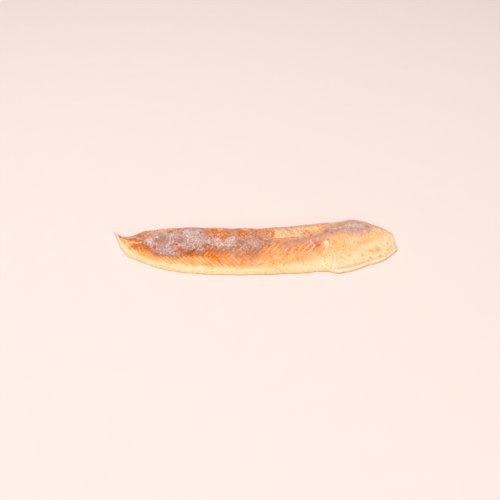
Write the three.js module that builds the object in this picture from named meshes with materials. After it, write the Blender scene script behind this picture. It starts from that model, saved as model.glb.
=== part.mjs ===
// A skinless hot-smoked trout fillet that lies skin side up, as one solid.
// The tail points to -X, the head end to +X, the belly edge to -Y and the back edge to +Y.
// It rests on z = 0, with the origin under the middle of its outline. Millimetres, +Z up.
import * as THREE from "three";
import { mergeVertices } from "three/addons/utils/BufferGeometryUtils.js";

// Driving dimensions
const LENGTH = 224; // tail tip to the corner of the belly flap
const WIDTH = 61; // over the whole outline, which bows a little
const THICKNESS = 12.5; // at the thickest part of the loin

// Outline: share of the length from the tail tip, then share of the width from the belly side
const BELLY_EDGE = [
  [0, 0.725], [0.019, 0.61], [0.038, 0.465], [0.066, 0.33], [0.101, 0.247], [0.148, 0.166],
  [0.209, 0.08], [0.3, 0.022], [0.39, 0], [0.523, 0.008], [0.68, 0.046], [0.755, 0.072],
  [0.78, 0.038], [0.82, 0.068], [0.876, 0.16], [0.94, 0.265], [0.987, 0.412], [1, 0.484],
];
const BACK_EDGE = [
  [0, 0.725], [0.024, 0.67], [0.044, 0.644], [0.068, 0.65], [0.085, 0.68], [0.108, 0.738],
  [0.135, 0.768], [0.17, 0.785], [0.206, 0.801], [0.28, 0.818], [0.37, 0.808], [0.5, 0.792],
  [0.63, 0.844], [0.724, 0.896], [0.795, 0.946], [0.848, 0.998], [0.893, 0.968], [0.933, 0.887],
  [0.969, 0.802], [1, 0.745],
];
// Height of the crest, as a share of the thickness
const CREST = [
  [0, 0.12], [0.037, 0.28], [0.08, 0.4], [0.145, 0.57], [0.28, 0.76], [0.41, 0.87],
  [0.545, 0.95], [0.68, 1], [0.795, 0.97], [0.884, 0.81], [0.94, 0.63], [0.975, 0.42],
  [1, 0.17],
];
// The head cut: share of the way from belly to back, then share of the length
const HEAD_CUT = [
  [0, 1], [0.055, 0.996], [0.12, 0.991], [0.2, 0.986], [0.38, 0.985], [0.56, 0.987], [1, 0.99],
];

// Section
const CREST_AT = 0.56; // share of the way from belly to back
const BELLY_SLOPE = 1.35; // power of the belly side's sine: larger leaves a thinner flap
const BACK_SLOPE = 0.6; // power of the back side's cosine: smaller makes a steeper wall
const BELLY_LIP = 2; // thickness of the flap just inside its edge
const BELLY_LIP_SHARE = 0.6; // and at most this share of the crest's height
const BELLY_ROUND = 2; // how far in the flap's edge is rounded
const BELLY_EDGE_HEIGHT = 0.5; // height of the belly edge's widest line
const BACK_EDGE_HEIGHT = 2; // height of the back edge's widest line
const BACK_EDGE_SHARE = 0.4; // and at most this share of the crest's height
const UNDERCUT = 1; // how far the resting face stays inside both edges
const UNDERCUT_SHARE = 0.25; // and at most this share of the section's width

// Ends
const TAIL_LIFT = 2.2; // the tail's tip curls up by this
const TAIL_CURL = 0.055; // share of the length that curls
const HEAD_BULGE = 0.9; // how far the head cut is rounded outwards

// Muscle flakes, in lines that zigzag over the fillet
const FLAKES = 50;
const FLAKE_GROWTH = 1.9; // the flake at the head is this much longer than the one at the tail
const FLAKE_DEPTH = 0.45;
// Shares of a flake's length, and of its depth there
const FLAKE_STEPS = [{ at: 0, depth: 1 }, { at: 0.28, depth: 0 }, { at: 0.64, depth: 0.25 }];
// Share of the way from belly to back, then how much of the depth shows through the thin membrane
const FLAKE_SHOWS = [[0, 0.3], [0.12, 1], [0.42, 1], [0.6, 0.6], [1, 0.2]];
// Share of the length, then how deep the flakes are there: they close towards the head
const FLAKE_ALONG = [[0, 0.5], [0.23, 1], [0.5, 1], [0.61, 0.5], [0.77, 0.3], [1, 0.2]];
// Share of the way from belly to back, then how far a flake's line leans towards the head
const FLAKE_LEAN = [[0, 9], [0.23, 0], [0.41, 7], [1, -9]];
const FLAKE_FADE_TAIL = 0.16; // the lines straighten out over these shares of the length
const FLAKE_FADE_HEAD = 0.1;

// Unevenness: waves as height, radians per mm along X and along Y, and phase
const SURFACE_WAVES = [[0.22, 0.11, 0.05, 1.3], [0.14, 0.23, -0.19, 0.4], [0.1, -0.07, 0.31, 2.1]];
const EDGE_WAVES = [[0.2, 0.29, 0.06, 2.4], [0.12, 0.61, 0.11, 0.9]];
const EDGE_WAVES_FROM = 0.1; // share of the length over which the edge's waves set in
const RELIEF_FADE = 4; // relief fades out this close to both edges, so that they stay whole
const RELIEF_FULL = 6; // where the crest is lower than this, relief is lower too

// The belly flap's ledge, a second layer that stands out past the loin towards the head
const LEDGE = {
  start: 0.752, // shares of the length where it starts and is full
  full: 0.785,
  fade: 0.84, // and where its step starts to fade
  left: 0.3, // share of the step that is left at the head's corner
  width: 2.6,
  groove: 0.7, // depth of the groove behind it
  grooveReach: 0.8,
  step: 1.5, // the loin steps up behind the groove
  rise: 1.4, // and rises over this width
  run: 8, // then falls back over about this width
};

// Dents and bumps as place, reach along X and Y, and height, and folds as ridges from one place to another
const BUMPS = [
  { x: 49.5, y: -7.5, reachX: 4.6, reachY: 3.4, height: -0.8 }, // torn pit
  { x: 55.3, y: -6.8, reachX: 2, reachY: 1.9, height: 1.5 }, // knob of cartilage
  { x: 26, y: 5.3, reachX: 9, reachY: 4.5, height: 0.5 }, // raised flake on the back
];
const FOLDS = [
  { from: [-8, -3.2], to: [34, -4.7], reach: 1.9, height: -0.6 }, // lateral groove
  { from: [34, -4.7], to: [62, 6.8], reach: 2.2, height: -0.5 }, // lateral groove, towards the head
  { from: [62, -18.2], to: [58.8, -26.5], reach: 1.3, height: 1 }, // fold at the belly notch
  { from: [52.3, -17.2], to: [50.6, -25.5], reach: 1.1, height: 0.6 }, // crease beside it
];

// Facets
const TOP_COLUMNS = 30;
const BASE_COLUMNS = 6;
const CAP_ROWS = 3;
const EDGE_CROWDING = 0.5; // 0 spreads the top's columns evenly, 1 crowds them at the edges
const SEAM = 1e-4; // points closer than this are one
const COLUMNS = TOP_COLUMNS + BASE_COLUMNS;
const BODY_ROWS = FLAKE_STEPS.length * FLAKES;
const ROWS = BODY_ROWS + CAP_ROWS;

const { lerp, smoothstep, clamp } = THREE.MathUtils;

// A smooth function through pairs of place and value.
function through(pairs) {
  const places = pairs.map(([place]) => place);
  const values = pairs.map(([, value]) => value);
  const curve = new THREE.CubicInterpolant(places, values, 1);
  return (place) => curve.evaluate(place)[0];
}

const bellyShare = through(BELLY_EDGE);
const backShare = through(BACK_EDGE);
const crestShare = through(CREST);
const headCut = through(HEAD_CUT);
const flakeLean = through(FLAKE_LEAN);
const flakeShows = through(FLAKE_SHOWS);
const flakeAlong = through(FLAKE_ALONG);

function waves(list, x, y) {
  const wave = ([height, alongX, alongY, phase]) => height * Math.sin(alongX * x + alongY * y + phase);
  return list.reduce((sum, one) => sum + wave(one), 0);
}

function bump({ x, y, reachX, reachY, height }, px, py) {
  return height * Math.exp(-(((px - x) / reachX) ** 2) - ((py - y) / reachY) ** 2);
}

function fold({ from, to, reach, height }, px, py) {
  const line = new THREE.Line3(new THREE.Vector3(...from, 0), new THREE.Vector3(...to, 0));
  const place = new THREE.Vector3(px, py, 0);
  const distance = line.closestPointToPoint(place, true, new THREE.Vector3()).distanceTo(place);
  return height * Math.exp(-((distance / reach) ** 2));
}

// Each flake is longer than the one before it by the same factor.
function flakePlace(flake) {
  return (FLAKE_GROWTH ** (flake / FLAKES) - 1) / (FLAKE_GROWTH - 1);
}

function lineStrength(along) {
  return smoothstep(along, 0, FLAKE_FADE_TAIL) * (1 - smoothstep(along, 1 - FLAKE_FADE_HEAD, 1));
}

function placeAlong(along, across) {
  const straight = along * headCut(across) * LENGTH - LENGTH / 2;
  return straight + flakeLean(across) * lineStrength(along);
}

function edges(x) {
  const share = clamp(x / LENGTH + 0.5, 0, 1);
  const wavy = smoothstep(share, 0, EDGE_WAVES_FROM);
  const belly = (bellyShare(share) - 0.5) * WIDTH;
  const back = (backShare(share) - 0.5) * WIDTH;
  return {
    share,
    belly: belly + wavy * waves(EDGE_WAVES, x, belly),
    back: back + wavy * waves(EDGE_WAVES, x, back),
    crest: crestShare(share) * THICKNESS,
    lift: TAIL_LIFT * Math.max(0, 1 - share / TAIL_CURL) ** 2,
  };
}

// The arch of the section: 0 at both edges and 1 at the crest.
function arch(across) {
  if (across < CREST_AT) return Math.sin((Math.PI / 2) * (across / CREST_AT)) ** BELLY_SLOPE;
  return Math.max(0, Math.cos((Math.PI / 2) * ((across - CREST_AT) / (1 - CREST_AT)))) ** BACK_SLOPE;
}

function ledge(share, fromBelly) {
  const fading = lerp(1, LEDGE.left, smoothstep(share, LEDGE.fade, 1));
  const present = fading * smoothstep(share, LEDGE.start, LEDGE.full);
  const past = Math.max(0, fromBelly - LEDGE.width);
  const groove = LEDGE.groove * Math.exp(-(((fromBelly - LEDGE.width) / LEDGE.grooveReach) ** 2));
  const step = LEDGE.step * smoothstep(past, 0, LEDGE.rise) * Math.exp(-past / LEDGE.run);
  return present * (step - groove);
}

// Height of the upper face
function topHeight({ share, belly, back, crest }, x, across, depth) {
  const span = back - belly;
  const y = belly + across * span;
  const lip = Math.min(BELLY_LIP, BELLY_LIP_SHARE * crest);
  const rounded = Math.sqrt(Math.min(1, (across * span) / BELLY_ROUND));
  const flap = lerp(Math.min(BELLY_EDGE_HEIGHT, lip), lip, rounded) * (1 - across);
  const wall = Math.min(BACK_EDGE_HEIGHT, BACK_EDGE_SHARE * crest) * across;
  const body = (crest - lip * (1 - CREST_AT)) * arch(across);
  const inside = smoothstep(Math.min(across, 1 - across) * span, 0, RELIEF_FADE);
  const relief =
    waves(SURFACE_WAVES, x, y) +
    ledge(share, across * span) +
    BUMPS.reduce((sum, one) => sum + bump(one, x, y), 0) +
    FOLDS.reduce((sum, one) => sum + fold(one, x, y), 0) -
    depth * FLAKE_DEPTH * flakeShows(across) * flakeAlong(share) * lineStrength(share);
  return flap + wall + body + relief * inside * Math.min(1, crest / RELIEF_FULL);
}

// Columns run over the top from belly to back, closer at the edges, then back under the base.
function sectionPoint(along, column, depth) {
  if (column <= TOP_COLUMNS) {
    const even = column / TOP_COLUMNS;
    const across = lerp(even, (1 - Math.cos(Math.PI * even)) / 2, EDGE_CROWDING);
    const x = placeAlong(along, across);
    const rim = edges(x);
    const z = topHeight(rim, x, across, depth) + rim.lift;
    return new THREE.Vector3(x, lerp(rim.belly, rim.back, across), z);
  }
  const across = 1 - (column - TOP_COLUMNS - 1) / (BASE_COLUMNS - 2);
  const x = placeAlong(along, across);
  const rim = edges(x);
  const inset = Math.min(UNDERCUT, UNDERCUT_SHARE * (rim.back - rim.belly));
  return new THREE.Vector3(x, lerp(rim.belly + inset, rim.back - inset, across), rim.lift);
}

const tailTip = new THREE.Vector3(
  -LENGTH / 2,
  (BELLY_EDGE[0][1] - 0.5) * WIDTH,
  TAIL_LIFT + (CREST[0][1] * THICKNESS) / 2,
);
// The head cut is hollow, so its middle lies at the rim's hindmost point.
const headRim = new THREE.Box3().setFromPoints(
  Array.from({ length: COLUMNS }, (_, column) => sectionPoint(1, column, 0)),
);
const headMiddle = headRim.getCenter(new THREE.Vector3()).setX(headRim.min.x);

// Rows run from the tail's tip up and down the steps of each flake, then close over the head cut.
function skinPoint(row, column) {
  if (row === 0) return tailTip;
  if (row <= BODY_ROWS) {
    const step = FLAKE_STEPS[row % FLAKE_STEPS.length];
    const flake = Math.floor(row / FLAKE_STEPS.length) + step.at;
    return sectionPoint(flakePlace(flake), column, step.depth);
  }
  const closed = (row - BODY_ROWS) / CAP_ROWS;
  const rim = sectionPoint(1, column, 0);
  const bulge = HEAD_BULGE * (1 - (1 - closed) ** 2);
  return rim.lerp(headMiddle, closed).add(new THREE.Vector3(bulge, 0, 0));
}

// A sphere's net, poles at tail and head, drawn over the fillet's skin.
function filletGeometry() {
  const net = new THREE.SphereGeometry(1, COLUMNS, ROWS);
  const { position, uv } = net.attributes;
  for (let i = 0; i < position.count; i++) {
    const row = Math.round((1 - uv.getY(i)) * ROWS);
    const column = Math.floor(uv.getX(i) * COLUMNS + 0.25) % COLUMNS;
    position.setXYZ(i, ...skinPoint(row, column));
  }
  net.deleteAttribute("normal");
  net.deleteAttribute("uv");
  const skin = mergeVertices(net, SEAM);
  skin.computeBoundingBox();
  const { min, max } = skin.boundingBox;
  skin.translate(-(min.x + max.x) / 2, -(min.y + max.y) / 2, -min.z);
  skin.computeVertexNormals();
  return skin;
}

const smokedFlesh = new THREE.MeshStandardMaterial({ color: 0xf2b277, roughness: 0.5, metalness: 0 });

const fillet = new THREE.Mesh(filletGeometry(), smokedFlesh);
fillet.name = "trout_fillet";

const part = new THREE.Group();
part.add(fillet);

export default part;
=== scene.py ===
"""Dresses the solid of a smoked trout fillet with its flesh, membrane and flakes, on a plain pale stage."""

import math
from types import SimpleNamespace

import bmesh
import bpy
import numpy as np
from bpy.props import FloatProperty, FloatVectorProperty, IntProperty, PointerProperty
from mathutils import Matrix, Vector, noise


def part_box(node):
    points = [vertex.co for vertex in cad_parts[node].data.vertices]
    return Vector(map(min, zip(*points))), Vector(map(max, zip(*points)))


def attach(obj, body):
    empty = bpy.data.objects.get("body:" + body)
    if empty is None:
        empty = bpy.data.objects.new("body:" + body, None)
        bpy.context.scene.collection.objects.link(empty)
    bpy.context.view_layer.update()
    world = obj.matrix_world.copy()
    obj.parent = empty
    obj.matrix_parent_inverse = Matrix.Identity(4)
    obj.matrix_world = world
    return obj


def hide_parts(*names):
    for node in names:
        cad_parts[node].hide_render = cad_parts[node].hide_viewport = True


bl_info = {
    "name": "Smoked trout fillet",
    "version": (1, 0, 0),
    "blender": (4, 5, 0),
    "location": "View3D > Sidebar > Trout",
    "description": "Builds a skinless smoked trout fillet and the stage it is shown on",
    "category": "Object",
}

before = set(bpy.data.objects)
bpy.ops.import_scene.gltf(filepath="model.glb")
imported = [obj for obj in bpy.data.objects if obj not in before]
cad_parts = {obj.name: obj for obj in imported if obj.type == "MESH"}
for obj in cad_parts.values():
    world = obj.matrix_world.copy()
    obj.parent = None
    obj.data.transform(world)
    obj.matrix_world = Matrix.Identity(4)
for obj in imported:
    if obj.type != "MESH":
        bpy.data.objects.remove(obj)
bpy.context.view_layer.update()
NODE = "trout_fillet"
LOW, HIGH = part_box(NODE)
MM = 0.001

# Outline: share of the length from the tail tip, then share of the width from the belly side
BELLY_EDGE = [
    (0, 0.725), (0.019, 0.61), (0.038, 0.465), (0.066, 0.33), (0.101, 0.247), (0.148, 0.166),
    (0.209, 0.08), (0.3, 0.022), (0.39, 0), (0.523, 0.008), (0.68, 0.046), (0.755, 0.072),
    (0.78, 0.038), (0.82, 0.068), (0.876, 0.16), (0.94, 0.265), (0.987, 0.412), (1, 0.484),
]
BACK_EDGE = [
    (0, 0.725), (0.024, 0.67), (0.044, 0.644), (0.068, 0.65), (0.085, 0.68), (0.108, 0.738),
    (0.135, 0.768), (0.17, 0.785), (0.206, 0.801), (0.28, 0.818), (0.37, 0.808), (0.5, 0.792),
    (0.63, 0.844), (0.724, 0.896), (0.795, 0.946), (0.848, 0.998), (0.893, 0.968), (0.933, 0.887),
    (0.969, 0.802), (1, 0.745),
]
# Height of the crest, as a share of the thickness
CREST = [
    (0, 0.12), (0.037, 0.28), (0.08, 0.4), (0.145, 0.57), (0.28, 0.76), (0.41, 0.87), (0.545, 0.95),
    (0.68, 1), (0.795, 0.97), (0.884, 0.81), (0.94, 0.63), (0.975, 0.42), (1, 0.17),
]
# The head cut: share of the way from belly to back, then share of the length
HEAD_CUT = [
    (0, 1), (0.055, 0.996), (0.12, 0.991), (0.2, 0.986), (0.38, 0.985), (0.56, 0.987), (1, 0.99),
]

# Section, in millimetres and shares
CREST_AT = 0.56
BELLY_SLOPE = 1.35
BACK_SLOPE = 0.6
BELLY_LIP = 2.0
BELLY_LIP_SHARE = 0.6
BELLY_ROUND = 2.0
BELLY_EDGE_HEIGHT = 0.2
BACK_EDGE_HEIGHT = 2.0
BACK_EDGE_SHARE = 0.4
UNDERCUT = 1.0
UNDERCUT_SHARE = 0.25
SMALLEST_UNDERCUT = 1e-6
TAIL_CURL = 0.055
# Waves: height in millimetres, radians to a millimetre along and across, and phase
EDGE_WAVES = [(0.2, 0.29, 0.06, 2.4), (0.12, 0.61, 0.11, 0.9)]
EDGE_WAVES_FROM = 0.1
SURFACE_WAVES = [(0.22, 0.11, 0.05, 1.3), (0.14, 0.23, -0.19, 0.4), (0.1, -0.07, 0.31, 2.1)]
# Millimetres from the edge, and of the crest's height, at which the relief is full
RELIEF_FADE = 4.0
RELIEF_FULL = 6.0
# The ledge of the belly flap: shares of the length where it starts, is full and fades, and what is left
LEDGE_START, LEDGE_FULL, LEDGE_FADE, LEDGE_LEFT = 0.752, 0.785, 0.84, 0.3
# Its width, groove and step, in millimetres
LEDGE_WIDTH = 2.6
LEDGE_GROOVE, LEDGE_GROOVE_REACH = 0.5, 0.6
LEDGE_STEP, LEDGE_RISE, LEDGE_RUN = 1.5, 1.4, 8.0

# Flakes: share from belly to back, then lean towards the head in millimetres, or share that shows
FLAKE_LEAN = [(0, 9), (0.23, 0), (0.41, 7), (1, -9)]
FLAKE_SHOWS = [(0, 0.3), (0.1, 1), (0.22, 1), (0.3, 0.5), (0.5, 0.35), (1, 0.2)]
FLAKE_FADE_TAIL = 0.16
FLAKE_FADE_HEAD = 0.1
# The lines between the flakes lean more than the net and turn sharply
LINE_LEAN = [(0, 16), (0.25, 0), (0.43, 9), (0.58, 9), (1, -6)]
LINE_TURN = 0.01
# How clearly the lines show, below and above their turn: millimetres from the middle, then share
LINES_BELOW = [
    (-112, 0), (-88, 0.3), (-70, 0.65), (-50, 0.95), (-20, 1), (-10, 0.85), (-2, 0.4), (12, 0),
    (112, 0),
]
LINES_ABOVE = [
    (-112, 0), (-48, 0), (-34, 0.4), (-20, 0.6), (20, 0.75), (40, 0.7), (70, 0.3), (95, 0.1), (112, 0),
]
# Where they show, in shares from belly to back: below their turn, and up to here above it
BELOW_STARTS, BELOW_ENDS, ABOVE_ENDS = (0.07, 0.11), (0.22, 0.25), (0.36, 0.48)
# Share at which they turn, near the tail and the head, the millimetres between, and the turn's softness
TURN_AT_TAIL, TURN_AT_HEAD, TURN_MOVES, TURN_SOFT = 0.25, 0.28, (-5, 8), 0.02
# How far the grain bends the lines, and how far their grooves reach past and before them, in flakes
LINE_BEND, GROOVE_PAST, GROOVE_BEFORE = 0.22, 0.16, 0.3
# Share of the grooves' depth where no lines show, share that the membrane fills, and its values there
GROOVE_LEFT, GROOVE_FILLED, GROOVE_COVERED = 0.2, 0.6, (0.4, 0.6)

# Bumps of the solid: millimetres along and across from the middle, reach along and across, height
BUMPS = [(49.5, -7.5, 4.6, 3.4, -0.8), (55.3, -6.8, 2, 1.9, 1.5), (26, 5.3, 9, 4.5, 0.5)]
# Folds of the solid: from, to, reach and height in millimetres
FOLDS = [
    ((-8, -3.2), (34, -4.7), 1.9, -0.6), ((34, -4.7), (62, 6.8), 2.2, -0.5),
    ((62, -18.2), (58.8, -26.5), 1.3, 1.0), ((52.3, -17.2), (50.6, -25.5), 1.1, 0.6),
]
# Height of the grain and the strands, and depth of the holes and the cracks, in millimetres
GRAIN_HEIGHT, STRAND_HEIGHT, HOLE_DEPTH, CRACK_DEPTH = 0.18, 0.25, 0.3, 0.6
# Grains: lumps to a millimetre, octaves and seed
LINE_GRAIN, SURFACE_GRAIN, LEDGE_GRAIN = (0.09, 2, 11.0), (0.35, 3, 5.0), (0.3, 2, 41.0)
WOBBLE_ALONG, WOBBLE_ACROSS = (0.4, 2, 21.0), (0.4, 2, 33.0)
# How a seed moves the grain, and how its octaves fall off and narrow
SEED_STEPS, GRAIN_FALLOFF, GRAIN_NARROWS = (1, 3.7, -1.9), 1.0, 2.0

# The net that is drawn over the fillet
ROWS_PER_FLAKE = 10
CAP_ROWS = 12
TOP_COLUMNS = 160
BASE_COLUMNS = 30
EDGE_CROWDING = 0.6

# Where the membrane starts and ends: millimetres from the middle, then share from belly to back
MEMBRANE_FROM = [
    (-100, 0.86), (-94, 0.72), (-87, 0.52), (-83, 0.417), (-79, 0.35), (-76, 0.26), (-66, 0.235),
    (-56, 0.225), (-51, 0.28), (-45, 0.32), (-40, 0.33), (-35, 0.37), (-30, 0.39), (-15, 0.38),
    (-10, 0.36), (-5, 0.35), (0, 0.34), (4, 0.35), (9, 0.4), (14, 0.44), (20, 0.42), (24, 0.38),
    (28, 0.42), (40, 0.45), (52, 0.47), (58, 0.54), (62, 0.59), (75, 0.55), (86, 0.56), (92, 0.66),
    (95, 0.78),
]
MEMBRANE_TO = [
    (-100, 0.86), (-92, 0.72), (-88, 0.6), (-84, 0.65), (-79, 0.76), (-66, 0.79), (-57, 0.88),
    (-44, 0.88), (-40, 0.85), (-36, 0.72), (-30, 0.63), (-24, 0.55), (-21, 0.57), (-18, 0.68),
    (-10, 0.63), (-5, 0.62), (-1, 0.74), (2, 0.74), (5, 0.6), (8, 0.6), (11, 0.66), (16, 0.5),
    (28, 0.48), (35, 0.52), (45, 0.53), (52, 0.56), (55, 0.64), (62, 0.72), (72, 0.85), (83, 0.83),
    (92, 0.79), (95, 0.78),
]
# How gradually its edge tears, in millimetres: over the middle, in the band near the head, low at the tail
MEMBRANE_REACH, BAND_REACH, TAIL_REACH = 4.0, 2.0, 2.2
# Where one changes to the next, in millimetres along
TAIL_TO_MIDDLE, MIDDLE_TO_BAND = (-56, -42), (4, 18)
# Its value where it is surely missing and surely there, and where and how far it thins at the tail's tip
BARE, COVERED, TIP_STRETCH, TIP_THINNING = -3, 2, (-106, -97), 1.5
# The pale flake on the back: millimetres along, shares from belly to back, and how soft its border is
BLOCK_FROM, BLOCK_TO, BLOCK_LOW, BLOCK_HIGH, BLOCK_SOFT = 16.5, 40.0, 0.535, 0.78, 0.7
# How far it fades at its upper and head ends, how pale it is, and the membrane's value on it
BLOCK_FADE_ACROSS, BLOCK_FADE_ALONG, BLOCK_PALENESS, BLOCK_MEMBRANE = 0.05, 8, 0.8, -0.6
# How closed the membrane is along the fillet
MEMBRANE_BODY = [
    (-100, 0.8), (-92, 0.85), (-87, 0.9), (-82, 1), (-20, 1), (4, 0.95), (14, 0.9), (45, 0.85),
    (60, 0.85), (70, 0.72), (86, 0.72), (95, 0.3),
]
# How far the pale belly fat reaches up: millimetres along, then share from belly to back
FAT_TO = [
    (-112, 0.7), (-105, 0.3), (-98, 0.24), (-93, 0.17), (-87, 0.11), (-78, 0.085), (-60, 0.09),
    (-35, 0.095), (0, 0.075), (20, 0.07), (36, 0.085), (50, 0.1), (60, 0.12), (72, 0.16), (85, 0.2),
    (100, 0.32), (112, 0.6),
]
# The fat's border, in millimetres within and past its line, and where it softens towards the head
FAT_WITHIN, FAT_PAST, FAT_PAST_HEAD, FAT_SOFTENS = -1, 2.4, 9, (-10, 60)
# How pale the flesh is along the fillet, from 0, deep orange, to 1, cream
PALENESS = [
    (-112, 0.6), (-104, 0.45), (-98, 0.45), (-92, 0.22), (-80, 0.14), (-60, 0.08), (-30, 0.17),
    (-15, 0.32), (0, 0.27), (15, 0.27), (30, 0.29), (45, 0.22), (60, 0.58), (75, 0.73), (90, 0.76),
    (112, 0.82),
]
# Paleness of the golden belt between the fat and the turn of the lines
BELT_PALENESS = [
    (-112, 0.6), (-98, 0.45), (-85, 0.46), (-50, 0.53), (-35, 0.43), (0, 0.42), (20, 0.54), (45, 0.6),
    (112, 0.8),
]
# The belt's upper border in shares from belly to back, and how far and where along it shifts up
BELT_BORDER, BELT_SHIFT, BELT_SHIFTS = (0.18, 0.26), 0.06, (0, 20)
# Paleness along the back, above the membrane; raised around -83 to -72 millimetres partly as painted light
# on the back's steep side, which faces away from the lamps
BACK_PALENESS = [
    (-112, 0.6), (-104, 0.4), (-97, 0.2), (-90, 0.2), (-83, 0.5), (-72, 0.62), (-60, 0.34), (-40, 0.28),
    (-10, 0.34), (5, 0.36), (14, 0.38), (35, 0.48), (112, 0.55),
]
# Where the back's paleness takes over, in shares below and above the membrane's upper edge
BACK_BLEND = (-0.06, 0.02)
# The deeper seam below the membrane: depth, then millimetres below it, reach, and where it starts and ends
SEAM_DEPTH, SEAM_BELOW, SEAM_REACH, SEAM_STARTS, SEAM_ENDS = 0.2, 1.2, 1.8, (-92, -82), (-30, -15)
# Where the flesh gets crumbly, in millimetres along, and how crumbly the fat is anyway
CRUMBLY_FROM, CRUMBLY_FAT = (-15, 15), 0.7
# Where it is less so on the back, in shares, and in the fat near the head, in millimetres, and how far
CRUMBLY_BACK, CRUMBLY_BACK_LOSS, CRUMBLY_HEAD, CRUMBLY_HEAD_LOSS = (0.4, 0.55), 0.5, (20, 45), 0.5
# Where the weave turns lengthwise at the tail, in millimetres along, and how much tighter it is there
WEAVE_TURNS, WEAVE_TIGHTER = (-78, -94), 1.5

# How far marks and strokes stray from their plain shapes, in millimetres
WOBBLE = 1.1
# Marks: millimetres along, share from belly to back, reach along and across in millimetres, and strength
# The spots at -81 and at 107 millimetres are painted light, on the back's steep side and on the head end's
# slope, which face away from the lamps
PALE_SPOTS_AND_PAINTED_LIGHT = [
    (45, 0.68, 10, 2.5, 0.26), (97, 0.66, 6, 5, 0.15), (70, 0.49, 9, 2.5, 0.12),
    (-28, 0.76, 4, 1.5, 0.2), (-81, 0.92, 8, 2.5, 0.3), (-96, 0.4, 4.5, 3, 0.35),
    (-84, 0.27, 4, 1.2, 0.15), (55.1, 0.364, 2.2, 2, 0.6), (107, 0.5, 5, 9, 0.3),
]
EMBER_SPOTS = [
    (-91, 0.36, 4.5, 1.6, 0.3), (-86, 0.385, 5, 2, 0.34), (-80.5, 0.357, 3, 1.6, 0.3),
    (-87, 0.68, 2.5, 2, 0.3), (-33, 0.75, 4, 3, 0.2), (-10, 0.75, 6, 3, 0.1), (38, 0.2, 7, 3, 0.15),
    (93, 0.2, 9, 1.6, 0.3), (13, 0.4, 6, 2, 0.15), (50, 0.4, 6, 4, 0.15), (18, 0.03, 16, 4, 0.14),
    (66.5, 0.15, 3.5, 2.5, 0.14), (82.9, 0.152, 1.4, 0.9, 0.6), (88.9, 0.21, 1.5, 0.9, 0.6),
    (94.9, 0.211, 1.4, 0.9, 0.6), (95.2, 0.25, 1.6, 0.9, 0.5), (103.2, 0.15, 1.2, 1, 0.6),
    (105.6, 0.2, 1.3, 1.1, 0.6), (103, 0.33, 1.1, 1, 0.45), (89, 0.078, 1.5, 0.9, 0.5),
    (96.4, 0.09, 1.7, 0.9, 0.5),
]
STAINS = [
    (-70, 0.53, 5.5, 5.5, 0.7), (-55, 0.5, 4.5, 3.2, 0.7), (-7.3, 0.47, 6.0, 4.0, 0.8),
    (2.7, 0.35, 5.0, 2.5, 0.8), (26.2, 0.25, 3.0, 1.2, 0.8), (56, 0.6, 2.6, 1.8, 1.0),
    (64, 0.61, 4.0, 1.6, 0.8), (88.5, 0.7, 2.0, 1.6, 0.9), (-78, 0.19, 2.5, 1.6, 0.7),
    (-88, 0.256, 2, 1, 0.6), (25.7, 0.408, 3, 1.4, 0.8), (48, 0.5, 5, 1.4, 0.5),
    (12, 0.48, 4, 1.3, 0.75), (18, 0.458, 3, 1.2, 0.6), (33, 0.475, 5, 1.3, 0.6),
    (40, 0.49, 4, 1.2, 0.6), (50, 0.385, 4, 1.8, 0.7),
]
# Pale veils of membrane; some, such as the strongest at -27.1 millimetres, are painted glints
VEILS_AND_GLINTS = [
    (-27.1, 0.54, 2.2, 2.2, 1.0), (-24.6, 0.44, 3, 2.6, 0.8), (-18.2, 0.49, 4.5, 4.0, 0.35),
    (-34, 0.5, 5, 3, 0.45), (-48.4, 0.62, 5.0, 2.5, 0.45), (-40.2, 0.5, 5.0, 3.0, 0.4),
    (-79.1, 0.474, 3.5, 3.5, 0.6), (-63, 0.64, 4, 2.4, 0.7), (-92.5, 0.74, 2.0, 1.2, 0.9),
    (-96.4, 0.74, 2.0, 1.5, 0.7), (-88.5, 0.567, 2.5, 1.2, 0.8), (80, 0.7, 7, 3.5, 0.75),
    (-38, 0.35, 4, 1.2, 0.5), (-2, 0.48, 4, 2, 0.5), (-52, 0.72, 11, 4.5, 0.68), (-76, 0.78, 7, 3, 0.8),
    (-28, 0.69, 4, 2.4, 0.6), (-14, 0.71, 2.5, 2.5, 0.6), (-36, 0.8, 3, 2, 0.5), (-7, 0.7, 2, 2.5, 0.5),
]
HOLES = [
    (-64, 0.764, 1.3, 1.2, 1.0), (-65.6, 0.719, 1.6, 1.2, 1.0), (-55.8, 0.7, 1.3, 1.2, 1.0),
    (-44.6, 0.706, 0.8, 0.8, 0.8), (-40.9, 0.724, 1.2, 1.4, 1.0), (-39.2, 0.62, 0.8, 0.9, 0.9),
    (-59.4, 0.431, 1.1, 0.9, 1.0), (-57.5, 0.431, 1.2, 0.7, 1.0), (-56.5, 0.37, 1.4, 0.8, 0.9),
    (-57, 0.309, 1.6, 1.0, 1.0), (-74.5, 0.357, 1.2, 1.6, 1.0), (-53.6, 0.33, 2.6, 2.0, 1.0),
    (-14.8, 0.634, 1.2, 1.0, 0.9), (-10.3, 0.633, 1.0, 1.0, 0.9), (2.3, 0.578, 1.3, 1.2, 0.8),
    (5, 0.64, 1.5, 1.5, 0.8), (-0.8, 0.386, 1.3, 1.2, 0.7), (-34, 0.43, 4, 0.9, 0.8),
    (-36, 0.42, 2, 1, 0.8), (-26, 0.48, 1.6, 0.8, 0.7), (-12, 0.4, 4, 1, 0.7), (-22, 0.4, 4, 1, 0.7),
    (-47.5, 0.29, 4.5, 2.2, 0.54),
]
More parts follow.
